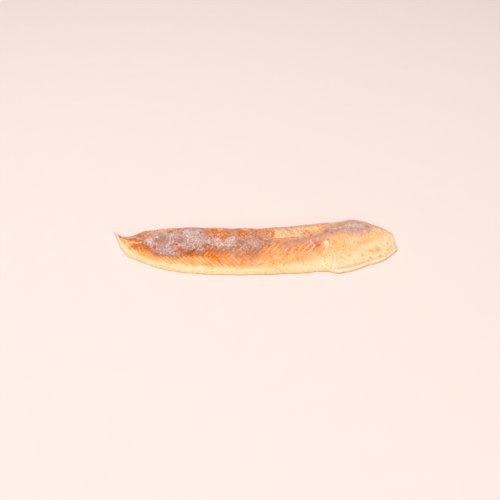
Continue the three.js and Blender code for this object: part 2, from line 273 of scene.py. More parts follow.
PITS = [
    (44.2, 0.545, 0.8, 0.9, 1.0), (39.2, 0.589, 0.9, 0.8, 0.8), (60.1, 0.573, 0.9, 0.7, 0.9),
    (76.3, 0.524, 0.8, 0.8, 0.7), (75.7, 0.475, 0.7, 0.6, 0.5), (88.8, 0.551, 0.8, 0.8, 0.7),
    (89.4, 0.487, 0.7, 0.8, 0.6), (49.1, 0.367, 1.2, 0.9, 0.8), (13.1, 0.545, 1.0, 0.8, 0.7),
    (-53.3, 0.375, 0.8, 0.7, 0.6), (-50.2, 0.282, 1.1, 0.7, 0.7), (-44.2, 0.31, 1.3, 0.8, 0.8),
    (-45.7, 0.253, 1.2, 0.7, 0.7), (-16, 0.93, 1.6, 1.6, 1.0), (10, 0.82, 0.9, 0.9, 0.8),
    (-63, 0.24, 4, 1.6, 0.3), (-14, 0.8, 7, 2, 0.45), (26.2, 0.255, 2.4, 1.1, 0.42),
]
# Strokes: millimetres along and share from belly to back at each end, reach in millimetres, and strength
RUST_AND_SHADE_STROKES = [
    (-104, 0.64, -100, 0.69, 0.6, 0.7), (-100, 0.69, -90, 0.56, 0.6, 0.72),
    (-47.4, 0.478, -41.6, 0.484, 0.4, 0.8), (-73.9, 0.563, -73.4, 0.475, 0.6, 0.7),
    (25, 0.767, 28.5, 0.655, 0.5, 0.7), (15.6, 0.694, 16.6, 0.551, 0.5, 0.62),
    (17, 0.53, 35, 0.52, 0.5, 0.58), (47, 0.4, 50, 0.36, 0.6, 0.6), (50, 0.36, 53, 0.33, 0.5, 0.5),
    # The stroke from 57.4 to 57.7 millimetres is painted shade on the right side of the bead
    (57.4, 0.335, 57.7, 0.385, 0.7, 0.4), (-48.5, 0.27, -45.5, 0.33, 0.6, 0.9),
    (-46.5, 0.28, -43, 0.35, 0.6, 0.95), (-44.5, 0.3, -41.5, 0.37, 0.5, 0.8),
    (-49.5, 0.3, -47, 0.35, 0.5, 0.6), (33, 0.72, 34.5, 0.65, 0.5, 0.5),
    (37.5, 0.64, 40, 0.57, 0.5, 0.5), (61.1, 0.392, 63.5, 0.359, 0.5, 0.4),
    (76.1, 0.5, 76.2, 0.567, 0.5, 0.45), (82.9, 0.433, 83.6, 0.517, 0.5, 0.4),
    (89.5, 0.542, 90.1, 0.616, 0.5, 0.5),
]
WHITE_STROKES_AND_PAINTED_LIGHT = [
    (43.6, 0.433, 46.9, 0.351, 0.6, 0.74), (46.9, 0.351, 41.5, 0.266, 0.6, 0.7),
    (46.9, 0.351, 49.4, 0.4, 0.5, 0.6), (48.3, 0.466, 49.7, 0.441, 0.5, 0.6),
    (47, 0.51, 49.5, 0.45, 0.6, 0.58), (52.6, 0.315, 53.8, 0.318, 0.6, 0.7),
    (55, 0.362, 55.8, 0.362, 1.5, 1.0), (53.6, 0.222, 54.3, 0.24, 0.6, 0.95),
    (53.2, 0.168, 52.4, 0.131, 0.8, 0.95), (52.4, 0.131, 50.8, 0.02, 0.7, 0.75),
    (52.4, 0.131, 55.1, 0.034, 0.7, 0.85), (55.8, 0.16, 57.8, 0.083, 0.5, 0.55),
    (57.4, 0.022, 59.2, 0.011, 0.8, 1.0), (61.3, 0.244, 61.9, 0.156, 0.6, 0.65),
    (61.9, 0.156, 61, 0.114, 0.7, 0.8), (61, 0.114, 61.1, 0.073, 0.9, 1.0),
    (61.1, 0.073, 59.6, 0.031, 0.8, 0.95), (61.3, 0.09, 63, 0.027, 0.8, 0.9),
    (4.6, 0.148, 5.4, 0.156, 0.6, 0.85), (6.1, 0.166, 6.8, 0.17, 0.6, 0.85),
    (-74.6, 0.582, -73, 0.582, 0.7, 0.85), (-42, 0.49, -41, 0.49, 0.5, 0.8),
    (-99, 0.57, -97, 0.55, 0.7, 0.6), (-94.4, 0.46, -91.8, 0.46, 0.7, 0.9),
    (-90, 0.42, -88.3, 0.415, 0.6, 0.9), (-87.4, 0.43, -85.3, 0.445, 0.6, 0.85),
    (-92.6, 0.265, -87.7, 0.155, 0.5, 0.85), (-106, 0.36, -97, 0.12, 2.2, 0.6),
    # The stroke at 109 millimetres is painted light along the head cut's edge, which faces away from the
    # key lamp
    (109, 0.3, 108.4, 0.85, 0.9, 0.6), (77.4, 0.475, 77.9, 0.534, 0.5, 0.6),
    (80.1, 0.416, 81.1, 0.492, 0.6, 0.6), (84.6, 0.45, 86.3, 0.559, 0.5, 0.6),
    (87.3, 0.483, 87.9, 0.567, 0.6, 0.55),
]
# Strands of membrane past its edge
FILM_STROKES = [
    (-98, 0.82, -90.5, 0.66, 0.8, 1.2), (-89.1, 0.6, -79.6, 0.44, 1.4, 1.1),
    (-87.8, 0.27, -86.1, 0.32, 0.6, 0.9), (-86.1, 0.32, -82.9, 0.33, 0.6, 0.9),
    (-82.9, 0.33, -82, 0.285, 0.6, 0.9),
]
# The painted pinkish contact shade on the belly's rim, where it meets the floor: strength at the tail and
# the head, reach in millimetres, and where it grows
RIM_SHADE_AT_TAIL, RIM_SHADE_AT_HEAD, RIM_SHADE_REACH, RIM_SHADE_GROWS = 0.6, 1, 0.8, (-60, 50)
# The line along the ledge: strength, what is left at the head, reach, and shares of the length between
LEDGE_LINE, LEDGE_LINE_LEFT, LEDGE_LINE_REACH, LEDGE_LINE_FADES = 1.1, 0.5, 0.55, (0.88, 0.93)
# The whitish ledge: strength, what is left where it is ragged, and reach in millimetres
LEDGE_WHITE, LEDGE_WHITE_LEFT, LEDGE_WHITE_REACH = 0.85, 0.3, 0.9
# Shares of the length where it gets ragged, and the range of its grain
LEDGE_RAGGED, LEDGE_GRAIN_RANGE = (0.84, 0.9), (-0.1, 0.4)

# Noises that follow the weave: how tight along and across it, detail, roughness and distortion
WEAVE_NOISES = {
    "streaks": (0.5, 0.12, 3, 0.6, 0),
    "threads": (1, 0.26, 2, 0.6, 0.3),
    "fine": (2.2, 0.6, 2, 0.5, 0.4),
}
# Noises through the flesh: lumps to a metre, detail, roughness and distortion
FLESH_NOISES = {
    "crumb": (700, 1.5, 0.6, 0),
    "grit": (1050, 0, 0.5, 0),
    "clouds": (110, 3, 0.55, 0),
    "patches": (300, 4, 0.6, 0.3),
}
# Widens a noise, which strays about a quarter from its middle, to about 1 to either side
SWING = 4

# Paint that changes along the fillet: millimetres where it starts and ends to change, and its values there
TAIL_WEAVE = (-92, -75, 1.9, 1)
CHIPS_ALONG = (8, 0, 0, 1)
GOLD_TIP = (-96, -84, 0.7, 1)
GOLD_TOP_RISES, GOLD_TOP_FALLS = (-102, -90, 0.3, 0.68), (-90, -76, 0.68, 0.5)
YELLOW_ALONG = (80, 50, 0.5, 1)
BLUSH_REACH, BLUSH_STARTS, BLUSH_ENDS = (50, 62, -1.15, -1.6), (12, 32, 0, 1), (100, 84, 0, 1)
TEARING = (0, 25, 0.5, 0.15)
MARGIN_REACH, MARGIN_STARTS, MARGIN_ENDS = (-30, -14, 0.1, -0.7), (-92, -80, 0, 1), (20, 0, 0, 0.85)
MARGIN_ON_BACK = (-60, -45, 0, 0.3)
BACK_RIM_TAIL, BACK_RIM_HEAD = (-60, -45, 0.3, 1), (80, 60, 0.1, 0.6)
DULL_STARTS = (-56, -42, 0, 1)
# The same across, in shares from belly to back
LIVELY_BACK, CALM_EDGE = (0.5, 0.62, 1, 2.4), (0.86, 0.97, 1, 0.45)
CHIPS_ACROSS = (0.58, 0.68, 0, 1)
GOLD_STARTS = (0.2, 0.28, 6, -16)
GOLD_ABOVE_FAT, GOLD_IN_BELT = (0.07, 0.12, 0, 1), (0.16, 0.27, 0.45, 1)
YELLOW_ACROSS = (0.62, 0.5, 0.15, 1)
TEARING_BACK = (0.5, 0.62, 0, 0.4)
MARGIN_ACROSS = (0.64, 0.52)
BACK_RIM = (0.76, 0.86, 0, 1)
# The same with a field or a noise of the surface
WEAVE_IN_CRUMBS = (0, 1, 1, 0.6)
CHIPS, YELLOW = (0.5, 0.62, 0, -0.4), (0.5, 0.34, 0, 1)
GOLD_PALE = (0.9, 0.65, 0, 1)
LINE, LINE_GAPS, LINES_THROUGH = (0.3, 0.46, 0, 1), (0.34, 0.54, 0, 1), (0.1, 0.6, 1, 0.35)
FILM_THIN, FILM_THICK, MARGIN_INSIDE = (0.4, 0.75, 0, 0.65), (0.7, 1.3, 0, 0.3), (1.3, 0.7, 0, 1)
SPECKLE, OPEN_HOLE = (0.62, 0.69, 0, 1), (0.28, 0.48, 0, 1)
# The third fades in the painted contact shade on the belly's rim and the ledge's line
STAINED, STRANDED_AND_PAINTED_LIGHT, RIM_SHADE_AND_LEDGE_LINE = (0.35, 1, 0, 0.55), (0.3, 0.8, 0, 0.85), (0.2, 1, 0, 0.8)
CRACKED_AND_SHADED, DEEPLY_CRACKED, HOLE_RUST_AND_SHADE = (0.15, 0.6, 0, 0.7), (0.55, 1, 0, 0.7), (0.4, 0.95, 0, 0.65)
BACK_RIM_PATCHES = (0.54, 0.64, 0, 1)
ROUGHNESS = (0.3, 0.7, 0.42, 0.56)
# Crumbs: what crumbly flesh adds and what there is anyway, in colour and in height in millimetres
CRUMBS, CRUMB_HEIGHT = (0.1, 0.14), (0.35, 0.12)
# Where the gold is full, in millimetres along, and how soft its upper border is, as a share
GOLD_FULL, GOLD_TOP_SOFT = -36, 0.15
# Membrane values where the blush and the brown margin are full, and the most blush
BLUSH_FULL, MARGIN_FULL, BLUSH_MOST = 0.3, 0.5, 0.68
# How far veils and their painted glints spread the membrane, how silvery it is, and how far veils, glints
# and stains change that
VEIL_SPREADS, SILVER, SILVER_MARKS = 0.4, 0.48, 0.5
# How strongly the lines show on the flesh and through the membrane
LINES_ON_FLESH, LINES_ON_FILM = 0.8, 0.2
# Heights of the fine relief in millimetres
THREAD_HEIGHT, STREAK_HEIGHT, FILM_HEIGHT, LINE_HEIGHT = 0.25, 0.3, 0.12, 0.08
# How much smoother the membrane is, and how moist the surface is
FILM_SMOOTHER, MOIST = -0.1, 0.5
# Places of the colours of the flesh and the membrane, from the deepest to the palest
FLESH_STOPS = (0, 0.3, 0.58, 0.8, 1)
FILM_STOPS = (0, 0.45, 1)

# Stage, in metres
FLOOR_REACH = 6.0
FLOOR_NOISE, FLOOR_MOTTLE, FLOOR_TINT = (60, 3), (0.3, 0.7, 0, 0.06), (0.8, 0.66, 0.58)
KEY_PLACE, FRONT_PLACE = (-0.3, -0.2, 1.9), (0.2, -1.6, 0.9)
LAMP_SIZE, LAMP_COLOUR = 1.2, (1.0, 0.965, 0.94)
SKY_COLOUR = (1.0, 0.97, 0.94, 1)
SENSOR_WIDTH, NEAREST_SEEN = 36.0, 0.01


def paint(red, green, blue):
    """A colour as Blender's nodes take it, from display values of 0 to 255."""
    shares = (red / 255, green / 255, blue / 255)
    return tuple(s / 12.92 if s < 0.04045 else ((s + 0.055) / 1.055) ** 2.4 for s in shares)


def hue(name, description, default):
    return FloatVectorProperty(
        name=name, description=description, default=default, size=3, min=0, max=1, subtype="COLOR"
    )


class TroutForm(bpy.types.PropertyGroup):
    """Sizes of the fillet"""

    length: FloatProperty(
        name="Length", description="Tail tip to the corner of the belly flap",
        default=HIGH.x - LOW.x, unit="LENGTH",
    )
    width: FloatProperty(
        name="Width", description="Over the whole bowed outline", default=HIGH.y - LOW.y, unit="LENGTH"
    )
    thickness: FloatProperty(
        name="Thickness", description="At the thickest part of the loin", default=12.5 * MM, unit="LENGTH"
    )
    tail_lift: FloatProperty(
        name="Tail lift", description="How far the tail's tip curls up", default=2.2 * MM, unit="LENGTH"
    )
    head_bulge: FloatProperty(
        name="Head bulge", description="How far the head cut is rounded out",
        default=0.9 * MM, unit="LENGTH",
    )
    flakes: IntProperty(name="Flakes", description="Muscle flakes from tail to head", default=50, min=10)
    flake_growth: FloatProperty(
        name="Flake growth", description="Length of the last flake over that of the first", default=1.9
    )
    flake_depth: FloatProperty(
        name="Flake depth", description="Depth of the grooves between flakes",
        default=0.4 * MM, unit="LENGTH",
    )


class TroutPaint(bpy.types.PropertyGroup):
    """Colours of the fillet"""

    ember: hue("Ember", "Deepest orange flesh, under the membrane", paint(206, 100, 26))
    orange: hue("Orange", "Orange flesh of the middle", paint(240, 146, 66))
    peach: hue("Peach", "Paler flesh towards the head", paint(249, 180, 121))
    straw: hue("Straw", "Yellow flesh at the head end", paint(252, 204, 144))
    cream: hue("Cream", "Belly fat", paint(253, 221, 183))
    gold: hue("Gold", "Tint of the flesh towards the tail", (1.0, 0.94, 0.38))
    yolk: hue("Yolk", "Tint of the yellow grit", (1.0, 0.96, 0.6))
    septum: hue("Septum", "Thin lines between the flakes", paint(253, 222, 186))
    mauve: hue("Mauve", "Membrane along the back", paint(194, 150, 140))
    mauve_deep: hue("Deep mauve", "Thick or stained membrane", paint(164, 116, 102))
    # Lilac also paints the glints among the veils
    lilac: hue("Lilac", "Thin pale veils of membrane", paint(232, 214, 211))
    blush: hue("Blush", "Pinkish flesh round the membrane towards the head", paint(216, 158, 134))
    # Umber also paints the brown patches along the back's rim, partly as painted contact shade, and the
    # painted shade beside the bead
    umber: hue("Umber", "Brown flesh at the torn edge of the membrane", paint(170, 96, 47))
    # Gristle also paints light along the head cut's edge
    gristle: hue("Gristle", "Whitish strands, bead and ledge of the belly flap", paint(254, 236, 214))
    # Salmon paints the contact shade on the belly's rim where it meets the floor, and the line along the
    # ledge
    salmon_shade_and_line: hue("Salmon", "Thin edges of the belly flap", paint(246, 184, 150))
    # Rust also paints the holes, partly as painted shade inside them
    rust: hue("Rust", "Pits, cracks and smoke-dark edges", paint(140, 74, 32))


class TroutStage(bpy.types.PropertyGroup):
    """Floor, light and camera"""

    floor_colour: hue("Floor", "Plain pale floor", (0.875, 0.765, 0.725))
    sky_strength: FloatProperty(name="Sky", description="Strength of the light all round", default=0.45)
    key_power: FloatProperty(
        name="Key light", description="Power of the light above", default=25.6, unit="POWER"
    )
    front_power: FloatProperty(
        name="Front light", description="Power of the light in front", default=6.0, unit="POWER"
    )
    camera_place: FloatVectorProperty(
        name="Camera place", description="Where the camera stands", subtype="TRANSLATION", unit="LENGTH",
        default=(0.02205, -0.3043, 0.2835),
    )
    camera_pitch: FloatProperty(
        name="Camera pitch", description="How far the camera looks down",
        default=math.radians(43.24), subtype="ANGLE",
    )
    camera_yaw: FloatProperty(
        name="Camera yaw", description="How far the camera turns to the right of +Y",
        default=math.radians(-0.76), subtype="ANGLE",
    )
    camera_lens: FloatProperty(
        name="Lens", description="Focal length", default=38.52, subtype="DISTANCE_CAMERA"
    )
    camera_shift: FloatProperty(name="Shift", description="Sideways shift of the frame", default=-0.0532)


def through(pairs):
    """A smooth curve through pairs of place and value."""
    places, values = np.array(pairs, float).T
    slopes = np.diff(values) / np.diff(places)
    tangents = np.concatenate([slopes[:1], (slopes[1:] + slopes[:-1]) / 2, slopes[-1:]])

    def curve(place):
        place = np.clip(place, places[0], places[-1])
        left = np.clip(np.searchsorted(places, place, side="right") - 1, 0, len(places) - 2)
        step = places[left + 1] - places[left]
        t = (place - places[left]) / step
        rise = values[left] + (values[left + 1] - values[left]) * t * t * (3 - 2 * t)
        return rise + step * t * (1 - t) * ((1 - t) * tangents[left] - t * tangents[left + 1])

    return curve


def smoothstep(value, low, high):
    t = np.clip((value - low) / (high - low), 0, 1)
    return t * t * (3 - 2 * t)


def lerp(start, end, share):
    return start + (end - start) * share


def bell(distance, reach):
    """1 at no distance, and falling smoothly to nothing past the reach."""
    return np.exp(-((distance / reach) ** 2))


def waves(series, x, y):
    return sum(height * np.sin(along * x + across * y + phase) for height, along, across, phase in series)


def crowd(even):
    """Spreads even shares so that they lie closer at both ends."""
    return lerp(even, (1 - np.cos(np.pi * even)) / 2, EDGE_CROWDING)


def grain(points, scale, octaves, seed):
    """Fractal noise of about -1 to 1 at each point, with its coarsest lumps 1 / scale across."""
    offset = Vector([seed * step for step in SEED_STEPS])
    settings = (GRAIN_FALLOFF, GRAIN_NARROWS, octaves)
    return np.array([noise.fractal(Vector(p) * scale + offset, *settings) for p in points])


class FilletSkin:
    """Places on the fillet's skin, in millimetres, for flake and round-the-section coordinates."""

    def __init__(self, form):
        self.length = form.length / MM
        self.width = form.width / MM
        self.thickness = form.thickness / MM
        self.tail_lift = form.tail_lift / MM
        self.head_bulge = form.head_bulge / MM
        self.flakes = form.flakes
        self.growth = form.flake_growth
        self.flake_depth = form.flake_depth / MM
        self.belly_share = through(BELLY_EDGE)
        self.back_share = through(BACK_EDGE)
        self.crest_share = through(CREST)
        self.head_cut = through(HEAD_CUT)
        self.lean = through(FLAKE_LEAN)
        self.shows = through(FLAKE_SHOWS)
        self.membrane_from = through(MEMBRANE_FROM)
        self.membrane_to = through(MEMBRANE_TO)

    def line_strength(self, along):
        return smoothstep(along, 0, FLAKE_FADE_TAIL) * (1 - smoothstep(along, 1 - FLAKE_FADE_HEAD, 1))

    def place_along(self, flake, across):
        along = (self.growth ** (flake / self.flakes) - 1) / (self.growth - 1)
        straight = along * self.head_cut(across) * self.length - self.length / 2
        return straight + self.lean(across) * self.line_strength(along)

    def flake_lines(self, x, across, share):
        """Counts the flakes up to each place, by the lines between them."""
        places, leans = np.array(LINE_LEAN).T
        lean = sum(np.interp(across + turn, places, leans) for turn in (-LINE_TURN, 0, LINE_TURN)) / 3
        straight = x + self.length / 2 - lean * self.line_strength(share)
        along = np.clip(straight / (self.head_cut(across) * self.length), 0, 1)
        return self.flakes * np.log(1 + along * (self.growth - 1)) / np.log(self.growth)

    def edges(self, x):
        share = np.clip(x / self.length + 0.5, 0, 1)
        wavy = smoothstep(share, 0, EDGE_WAVES_FROM)
        belly = (self.belly_share(share) - 0.5) * self.width
        back = (self.back_share(share) - 0.5) * self.width
        belly = belly + wavy * waves(EDGE_WAVES, x, belly)
        back = back + wavy * waves(EDGE_WAVES, x, back)
        crest = self.crest_share(share) * self.thickness
        lift = self.tail_lift * np.maximum(0, 1 - share / TAIL_CURL) ** 2
        return share, belly, back, crest, lift

    def arch(self, across):
        belly_side = np.sin(np.pi / 2 * np.clip(across / CREST_AT, 0, 1)) ** BELLY_SLOPE
        back_side = np.cos(np.pi / 2 * np.clip((across - CREST_AT) / (1 - CREST_AT), 0, 1)) ** BACK_SLOPE
        return np.where(across < CREST_AT, belly_side, back_side)

    def ledge(self, share, from_belly):
        present = smoothstep(share, LEDGE_START, LEDGE_FULL)
        present = present * lerp(1, LEDGE_LEFT, smoothstep(share, LEDGE_FADE, 1))
        past = np.maximum(0, from_belly - LEDGE_WIDTH)
        groove = LEDGE_GROOVE * bell(from_belly - LEDGE_WIDTH, LEDGE_GROOVE_REACH)
        step = LEDGE_STEP * smoothstep(past, 0, LEDGE_RISE) * np.exp(-past / LEDGE_RUN)
        return present * (step - groove)

    def plain_heights(self, crest, span, across):
        """Height of the upper face without relief, and of the base."""
        lip = np.minimum(BELLY_LIP, BELLY_LIP_SHARE * crest)
        belly_rim = np.minimum(BELLY_EDGE_HEIGHT, lip)
        back_rim_smoke_and_shade = np.minimum(BACK_EDGE_HEIGHT, BACK_EDGE_SHARE * crest)
        rounded = np.sqrt(np.minimum(1, across * span / BELLY_ROUND))
        flap = lerp(belly_rim, lip, rounded) * (1 - across)
        top = flap + back_rim_smoke_and_shade * across + (crest - lip * (1 - CREST_AT)) * self.arch(across)
        inset = np.maximum(SMALLEST_UNDERCUT, np.minimum(UNDERCUT, UNDERCUT_SHARE * span))
        under_belly = belly_rim * np.maximum(0, 1 - across * span / inset) ** 2
        under_back = back_rim_smoke_and_shade * np.maximum(0, 1 - (1 - across) * span / inset) ** 2
        return top, under_belly + under_back


def to_segment(x, y, start, end):
    """Distance of each place from a straight stretch."""
    run_x, run_y = end[0] - start[0], end[1] - start[1]
    share = np.clip(((x - start[0]) * run_x + (y - start[1]) * run_y) / (run_x**2 + run_y**2), 0, 1)
    return np.hypot(x - start[0] - share * run_x, y - start[1] - share * run_y)


def solid_relief(x, y):
    """Bumps and folds that the solid has too."""
    total = np.zeros_like(x)
    for bump_x, bump_y, reach_x, reach_y, height in BUMPS:
        total += height * bell(x - bump_x, reach_x) * bell(y - bump_y, reach_y)
    for start, end, reach, height in FOLDS:
        total += height * bell(to_segment(x, y, start, end), reach)
    return total


def marks(series, at):
    """How strongly the marks of a series show at each place."""
    total = np.zeros_like(at.x)
    for mark_x, mark_across, along_reach, across_reach, strength in series:
        along = bell(at.near_x - mark_x, along_reach)
        across = bell((at.near_across - mark_across) * at.span, across_reach)
        total = np.maximum(total, strength * along * across)
    return total


def strokes(series, at):
    """How strongly the strokes of a series show at each place."""
    x = (at.x + at.near_x) / 2
    across = (at.across + at.near_across) / 2
    total = np.zeros_like(x)
    for x0, across0, x1, across1, reach, strength in series:
        distance = to_segment(x, across * at.span, (x0, across0 * at.span), (x1, across1 * at.span))
        total = np.maximum(total, strength * bell(distance, reach))
    return total


def skin_net(rows, columns):
    """A sphere's net, poles at the tail's tip and in the head cut, with its rows and columns."""
    net = bmesh.new()
    bmesh.ops.create_uvsphere(net, u_segments=columns, v_segments=rows, radius=1.0)
    mesh = bpy.data.meshes.new(NODE + "_skin")
    net.to_mesh(mesh)
    net.free()
    places = np.empty(len(mesh.vertices) * 3)
    mesh.vertices.foreach_get("co", places)
    x, y, z = places.reshape(-1, 3).T
    along = np.arccos(np.clip(z, -1, 1)) / np.pi
    around = np.round(np.arctan2(y, x) / (2 * np.pi) * columns) % columns
    return mesh, np.round(along * rows), around


def net_places(skin, row, column):
    """Where each point of the net lies on the fillet, in millimetres and shares, before any relief."""
    at = SimpleNamespace(on_top=column <= TOP_COLUMNS)
    over = crowd(np.clip(column / TOP_COLUMNS, 0, 1))
    under = 1 - crowd(np.clip((column - TOP_COLUMNS) / BASE_COLUMNS, 0, 1))
    at.across = np.where(at.on_top, over, under)
    flake = np.minimum(row / ROWS_PER_FLAKE, skin.flakes)
    at.x = skin.place_along(flake, at.across)
    at.share, belly, back, at.crest, at.lift = skin.edges(at.x)
    at.span = back - belly
    at.from_belly = at.across * at.span
    at.y = belly + at.from_belly
    at.past_low_edge = (at.across - skin.membrane_from(at.x)) * at.span
    at.past_high_edge = (at.across - skin.membrane_to(at.x)) * at.span
    at.flat = np.stack([at.x, at.y, np.zeros_like(at.x)], 1)
    at.near_x = at.x + WOBBLE * grain(at.flat, *WOBBLE_ALONG)
    at.near_across = at.across + WOBBLE * grain(at.flat, *WOBBLE_ACROSS) / np.maximum(at.span, 1)
    return at


def belly_fat(at):
    """How surely each place is on the pale belly fat."""
    past = lerp(FAT_PAST, FAT_PAST_HEAD, smoothstep(at.x, *FAT_SOFTENS))
    return 1 - smoothstep((at.across - through(FAT_TO)(at.x)) * at.span, FAT_WITHIN, past)


def pale_block(at):
    """How surely each place is on the pale flake of the back."""
    start = smoothstep(at.near_x - BLOCK_FROM, -BLOCK_SOFT, BLOCK_SOFT)
    end = 1 - smoothstep(at.x, BLOCK_TO - BLOCK_FADE_ALONG, BLOCK_TO)
    low = smoothstep((at.near_across - BLOCK_LOW) * at.span, -BLOCK_SOFT, BLOCK_SOFT)
    high = 1 - smoothstep(at.across, BLOCK_HIGH - BLOCK_FADE_ACROSS, BLOCK_HIGH)
    return start * low * high * end


def membrane_cover(at):
    """How surely the membrane covers each place, passing a half along its torn edge."""
    reach = lerp(MEMBRANE_REACH, BAND_REACH, smoothstep(at.x, *MIDDLE_TO_BAND))
    low_reach = lerp(TAIL_REACH, reach, smoothstep(at.x, *TAIL_TO_MIDDLE))
    inside = np.minimum(at.past_low_edge / low_reach, -at.past_high_edge / reach)
    cover = np.clip((1 + inside) / 2, BARE, COVERED)
    cover = cover - TIP_THINNING * (1 - smoothstep(at.x, *TIP_STRETCH))
    cover = lerp(np.where(at.on_top, cover, BARE), BLOCK_MEMBRANE, pale_block(at))
    return np.maximum(cover, lerp(BARE, COVERED, strokes(FILM_STROKES, at)))


def paleness(skin, at, fat):
    """How pale the flesh is at each place, from 0, deep orange, to 1, cream."""
    on_back = smoothstep(at.across - skin.membrane_to(at.x), *BACK_BLEND)
    pale = lerp(through(PALENESS)(at.x), through(BACK_PALENESS)(at.x), on_back)
    in_belt = 1 - smoothstep(at.across - BELT_SHIFT * smoothstep(at.x, *BELT_SHIFTS), *BELT_BORDER)
    pale = lerp(pale, np.maximum(pale, through(BELT_PALENESS)(at.x)), in_belt)
    seam = SEAM_DEPTH * smoothstep(at.x, *SEAM_STARTS) * (1 - smoothstep(at.x, *SEAM_ENDS))
    pale = pale - seam * bell(at.past_low_edge + SEAM_BELOW, SEAM_REACH)
    pale = lerp(pale, 1, fat)
    # The pale spots include painted light at the head end and on the back's steep side
    pale = np.clip(pale + marks(PALE_SPOTS_AND_PAINTED_LIGHT, at) - marks(EMBER_SPOTS, at), 0, 1)
    return lerp(pale, BLOCK_PALENESS, pale_block(at))


def crumbliness(at, fat):
    """How far each place is crumbly rather than woven."""
    along = np.maximum(smoothstep(at.x, *CRUMBLY_FROM), CRUMBLY_FAT * fat)
    on_back = CRUMBLY_BACK_LOSS * smoothstep(at.across, *CRUMBLY_BACK)
    at_head = CRUMBLY_HEAD_LOSS * fat * smoothstep(at.x, *CRUMBLY_HEAD)
    return along * (1 - on_back) * (1 - at_head)


def painted_rim_shade_and_ledge_line(at):
    """Painted pinkish contact shade on the belly's thin rim, where it meets the floor, and the line along
    its ledge.
    """
    fading = smoothstep(at.share, *LEDGE_LINE_FADES)
    ledge = smoothstep(at.share, LEDGE_START, LEDGE_FULL) * lerp(LEDGE_LINE, LEDGE_LINE_LEFT, fading)
    ledge = ledge * bell(at.from_belly - LEDGE_WIDTH, LEDGE_LINE_REACH)
    # The rim's part is painted contact shade, along the belly's edge where it meets the floor
    rim = lerp(RIM_SHADE_AT_TAIL, RIM_SHADE_AT_HEAD, smoothstep(at.x, *RIM_SHADE_GROWS)) * bell(at.from_belly, RIM_SHADE_REACH)
    return np.maximum(ledge, rim)


def white_strands_and_painted_light(at):
    """Whitish strands, the whitish ledge of the belly flap, and painted light along the head cut's edge."""
    ragged = smoothstep(grain(at.flat, *LEDGE_GRAIN), *LEDGE_GRAIN_RANGE)
    ragged = ragged * smoothstep(at.share, *LEDGE_RAGGED)
    ledge = LEDGE_WHITE * lerp(1, LEDGE_WHITE_LEFT, ragged) * smoothstep(at.share, LEDGE_START, LEDGE_FULL)
    ledge = ledge * np.exp(-(((at.from_belly - LEDGE_WIDTH / 2) / LEDGE_WHITE_REACH) ** 4))
    return np.maximum(strokes(WHITE_STROKES_AND_PAINTED_LIGHT, at), ledge)


def line_clarity(at):
    """How clearly the lines between the flakes show, below and above their turn."""
    below = smoothstep(at.across, *BELOW_STARTS) * (1 - smoothstep(at.across, *BELOW_ENDS))
    turn = lerp(TURN_AT_TAIL, TURN_AT_HEAD, smoothstep(at.x, *TURN_MOVES))
    above = smoothstep(at.across - turn, 0, TURN_SOFT) * (1 - smoothstep(at.across, *ABOVE_ENDS))
    return below * through(LINES_BELOW)(at.x) + above * through(LINES_ABOVE)(at.x)


def fillet_look(skin, at):
    """The fields that the relief and the flesh's material go by."""
    fat = belly_fat(at)
    return SimpleNamespace(
        line=skin.flake_lines(at.x, at.across, at.share) + LINE_BEND * grain(at.flat, *LINE_GRAIN),
        line_show=line_clarity(at),
        membrane=membrane_cover(at),
        body=through(MEMBRANE_BODY)(at.x),
        pale=paleness(skin, at, fat),
        grainy=crumbliness(at, fat),
        stains=marks(STAINS, at),
        veils=marks(VEILS_AND_GLINTS, at),
        holes=marks(HOLES, at),
        # Pits and cracks, and the painted shade beside the bead
        rust=np.maximum(marks(PITS, at), strokes(RUST_AND_SHADE_STROKES, at)),
        whites_and_painted_light=white_strands_and_painted_light(at),
        rim_shade_and_ledge_line=painted_rim_shade_and_ledge_line(at),
    )


def upper_relief(skin, at, look):
    """Height of the flakes, waves, ledge, bumps, folds, grain and marks over the plain upper face."""
    fraction = look.line - np.floor(look.line)
    groove = bell(fraction, GROOVE_PAST) + bell(1 - fraction, GROOVE_BEFORE)
    depth = skin.flake_depth * lerp(GROOVE_LEFT * skin.shows(at.across), 1, look.line_show)
    depth = depth * skin.line_strength(at.share)
    depth = depth * (1 - GROOVE_FILLED * smoothstep(look.membrane, *GROOVE_COVERED))
    relief = waves(SURFACE_WAVES, at.x, at.y) + solid_relief(at.x, at.y)
    relief = relief + skin.ledge(at.share, at.from_belly) - depth * groove
    relief = relief + GRAIN_HEIGHT * grain(at.flat, *SURFACE_GRAIN)
    relief = relief - HOLE_DEPTH * look.holes - CRACK_DEPTH * look.rust + STRAND_HEIGHT * look.whites_and_painted_light
    from_edge = np.minimum(at.across, 1 - at.across) * at.span
    return relief * smoothstep(from_edge, 0, RELIEF_FADE) * np.minimum(1, at.crest / RELIEF_FULL)


def closed_places(skin, at, row, z):
    """The net's places with the tail's tip and the head cut closed, fitted to the solid's box."""
    body_rows = ROWS_PER_FLAKE * skin.flakes
    closing = np.clip((row - body_rows) / CAP_ROWS, 0, 1)
    rim = row == body_rows
    middle = [at.x[rim].min()] + [(v[rim].min() + v[rim].max()) / 2 for v in (at.y, z)]
    x, y, z = (lerp(v, m, closing) for v, m in zip((at.x, at.y, z), middle))
    x = x + skin.head_bulge * (1 - (1 - closing) ** 2)
    z[row == 0] = skin.tail_lift + CREST[0][1] * skin.thickness / 2
    co = np.stack([x, y, z], 1)
    low, high = np.array(LOW), np.array(HIGH)
    return low + (co - co.min(0)) * (high - low) / (co.max(0) - co.min(0))


def write_attribute(mesh, name, kind, field, values):
    layer = mesh.attributes.new(name, kind, "POINT")
    layer.data.foreach_set(field, np.ascontiguousarray(values, np.float32).ravel())


